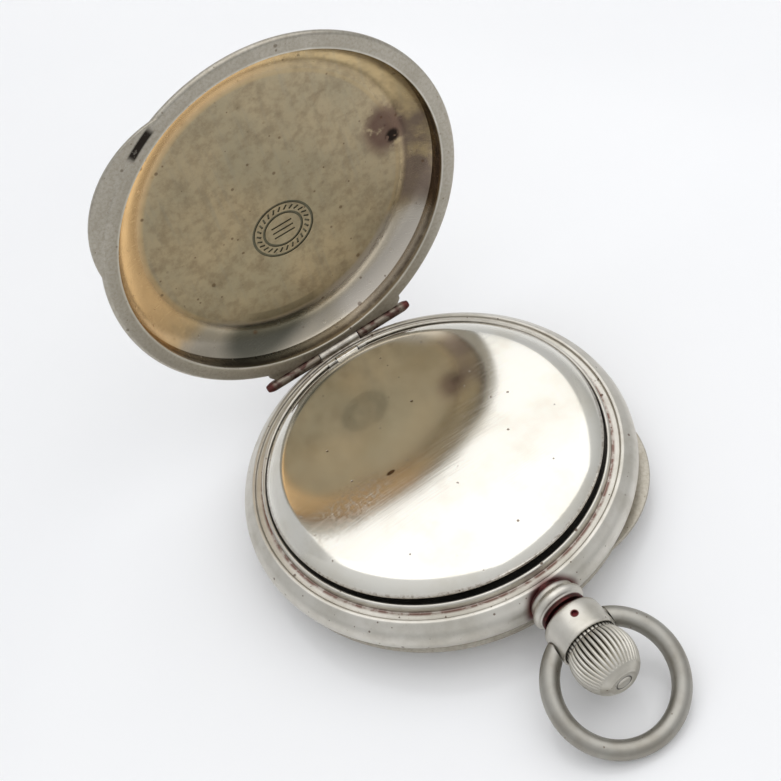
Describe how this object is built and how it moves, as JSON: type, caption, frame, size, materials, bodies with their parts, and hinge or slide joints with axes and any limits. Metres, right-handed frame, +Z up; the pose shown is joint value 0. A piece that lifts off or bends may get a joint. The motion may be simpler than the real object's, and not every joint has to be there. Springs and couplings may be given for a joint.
{
  "type": "hunter pocket watch",
  "caption": "Hunter-case pocket watch lying on its closed front cover, back cover open, inner dust cover ajar, fluted winding crown and round wire bow.",
  "frame": {"origin": "centre of the closed front cover's outer flat, the face the watch rests on", "axes": "+Z up through the movement to the back, -Y out along the pendant and bow, +Y towards the case hinges, +X to the right seen from the pendant end"},
  "size_m": [0.0576, 0.0848, 0.0657],
  "materials": {
    "case": "worn satin nickel alloy",
    "steel": "polished",
    "brass": "gilt",
    "nickel_plate": "damaskeened nickel",
    "jewel": "polished ruby",
    "glass": "clear",
    "enamel": "glossy",
    "blued_steel": "blued"
  },
  "bodies": {
    "case": {"case_band": "case", "back_hinge_pin": "steel", "front_hinge_pin": "steel", "cuvette_hinge_pin": "steel", "bezel": "case", "crystal": "glass", "pendant_neck": "case", "pendant_sleeve": "case", "pendant_screw": "steel", "lift_spring": "steel", "case_spring_screws": "steel", "dial": "enamel", "main_plate": "nickel_plate", "barrel_bridge": "nickel_plate", "train_bridge": "nickel_plate", "balance_cock": "nickel_plate", "pallet_bridge": "nickel_plate", "bridge_screws": "steel", "case_screws": "steel", "bridge_jewels": "jewel", "crown_wheel_screw": "steel", "click_spring": "steel", "minute_wheel_post": "steel"},
    "back_cover": {"back_cover": "case"},
    "cuvette": {"cuvette": "case"},
    "front_cover": {"front_cover": "case"},
    "bow": {"bow": "case"},
    "lock_spring": {"lock_spring": "steel"},
    "winding_pinion": {"winding_pinion": "steel"},
    "crown": {"crown": "case", "winding_stem": "steel"},
    "crown_wheel": {"crown_wheel": "steel"},
    "ratchet": {"ratchet_wheel": "steel", "ratchet_screw": "steel", "barrel_arbor": "steel"},
    "click": {"click": "steel"},
    "barrel": {"mainspring_barrel": "brass", "barrel_cover": "brass", "mainspring": "steel"},
    "centre_train": {"centre_arbor": "steel", "centre_wheel": "brass", "cannon_pinion": "steel", "minute_hand": "blued_steel"},
    "third_train": {"third_arbor": "steel", "third_wheel": "brass"},
    "fourth_train": {"fourth_arbor": "steel", "fourth_wheel": "brass", "seconds_hand": "blued_steel"},
    "escape_train": {"escape_arbor": "steel", "escape_wheel": "steel"},
    "pallet": {"pallet_fork": "steel", "pallet_stones": "jewel"},
    "balance": {"balance_wheel": "brass", "balance_screws": "brass", "balance_staff": "steel", "hairspring": "steel"},
    "regulator": {"regulator": "steel"},
    "minute_wheel": {"minute_wheel": "brass"},
    "hour_train": {"hour_wheel": "brass", "hour_hand": "blued_steel"}
  },
  "joints": [
    {"name": "back_cover_hinge", "type": "hinge", "parent": "case", "child": "back_cover", "pos_m": [0, 0.0274, 0.0105], "axis": [-1, 0, 0], "range_deg": [-92, 0]},
    {"name": "cuvette_hinge", "type": "hinge", "parent": "case", "child": "cuvette", "pos_m": [0, 0.02455, 0.01104], "axis": [-1, 0, 0], "range_deg": [-2, 80]},
    {"name": "front_cover_hinge", "type": "hinge", "parent": "case", "child": "front_cover", "pos_m": [0, 0.0274, 0.0043], "axis": [1, 0, 0], "range_deg": [0, 100]},
    {"name": "bow_swivel", "type": "hinge", "parent": "case", "child": "bow", "pos_m": [0, -0.0345, 0.0082], "axis": [-1, 0, 0], "range_deg": [-74, 120]},
    {"name": "winding", "type": "hinge", "parent": "case", "child": "winding_pinion", "pos_m": [0, -0.01865, 0.0082], "axis": [0, -1, 0], "continuous": true},
    {"name": "crown_press", "type": "slide", "parent": "winding_pinion", "child": "crown", "axis": [0, 1, 0], "range_m": [0, 0.00045], "stiffness_N_per_m": 1500, "springref_m": -0.0002},
    {"name": "lock_spring_flex", "type": "hinge", "parent": "case", "child": "lock_spring", "pos_m": [-0.01845, -0.0134, 0.006], "axis": [0, 0, 1], "range_deg": [0, 1.2]},
    {"name": "crown_wheel_spin", "type": "hinge", "parent": "case", "child": "crown_wheel", "pos_m": [0, -0.01416, 0.0105], "axis": [0, 0, 1], "continuous": true},
    {"name": "ratchet_spin", "type": "hinge", "parent": "case", "child": "ratchet", "pos_m": [-0.00865, -0.00606, 0.0105], "axis": [0, 0, 1], "continuous": true},
    {"name": "click_swing", "type": "hinge", "parent": "case", "child": "click", "pos_m": [-0.01335, 0.00278, 0.0105], "axis": [0, 0, 1], "range_deg": [-9, 0], "stiffness_Nm_per_rad": 0.0000002, "springref_deg": 17.19},
    {"name": "seconds_spin", "type": "hinge", "parent": "case", "child": "fourth_train", "pos_m": [0.0115, 0, 0.0085], "axis": [0, 0, 1], "continuous": true},
    {"name": "barrel_spin", "type": "hinge", "parent": "case", "child": "barrel", "pos_m": [-0.00865, -0.00606, 0.0085], "axis": [0, 0, 1], "continuous": true},
    {"name": "centre_spin", "type": "hinge", "parent": "case", "child": "centre_train", "pos_m": [0, 0, 0.0085], "axis": [0, 0, 1], "continuous": true},
    {"name": "third_spin", "type": "hinge", "parent": "case", "child": "third_train", "pos_m": [0.00614, 0.00418, 0.0085], "axis": [0, 0, 1], "continuous": true},
    {"name": "escape_spin", "type": "hinge", "parent": "case", "child": "escape_train", "pos_m": [0.01475, -0.00388, 0.0085], "axis": [0, 0, 1], "continuous": true},
    {"name": "minute_wheel_spin", "type": "hinge", "parent": "case", "child": "minute_wheel", "pos_m": [-0.00416, 0.0024, 0.006], "axis": [0, 0, 1], "continuous": true},
    {"name": "hour_spin", "type": "hinge", "parent": "case", "child": "hour_train", "pos_m": [0, 0, 0.0055], "axis": [0, 0, 1], "continuous": true},
    {"name": "pallet_swing", "type": "hinge", "parent": "case", "child": "pallet", "pos_m": [0.01245, -0.00657, 0.0085], "axis": [0, 0, 1], "range_deg": [-5, 5]},
    {"name": "balance_swing", "type": "hinge", "parent": "case", "child": "balance", "pos_m": [0.0096, -0.0099, 0.0092], "axis": [0, 0, 1], "range_deg": [-270, 270], "stiffness_Nm_per_rad": 0.0000002},
    {"name": "regulator_turn", "type": "hinge", "parent": "case", "child": "regulator", "pos_m": [0.0096, -0.0099, 0.0107], "axis": [0, 0, 1], "range_deg": [-20, 20]}
  ],
  "couplings": [
    {"joint": "lock_spring_flex", "follows": "crown_press", "rad_per_m": 41.556},
    {"joint": "crown_wheel_spin", "follows": "winding", "ratio": -0.46667},
    {"joint": "ratchet_spin", "follows": "winding", "ratio": 0.28571},
    {"joint": "third_spin", "follows": "seconds_spin", "ratio": -0.13333},
    {"joint": "centre_spin", "follows": "seconds_spin", "ratio": 0.016667},
    {"joint": "barrel_spin", "follows": "seconds_spin", "ratio": -0.002381},
    {"joint": "escape_spin", "follows": "seconds_spin", "ratio": -10},
    {"joint": "minute_wheel_spin", "follows": "seconds_spin", "ratio": -0.0055556},
    {"joint": "hour_spin", "follows": "seconds_spin", "ratio": 0.0013889}
  ]
}
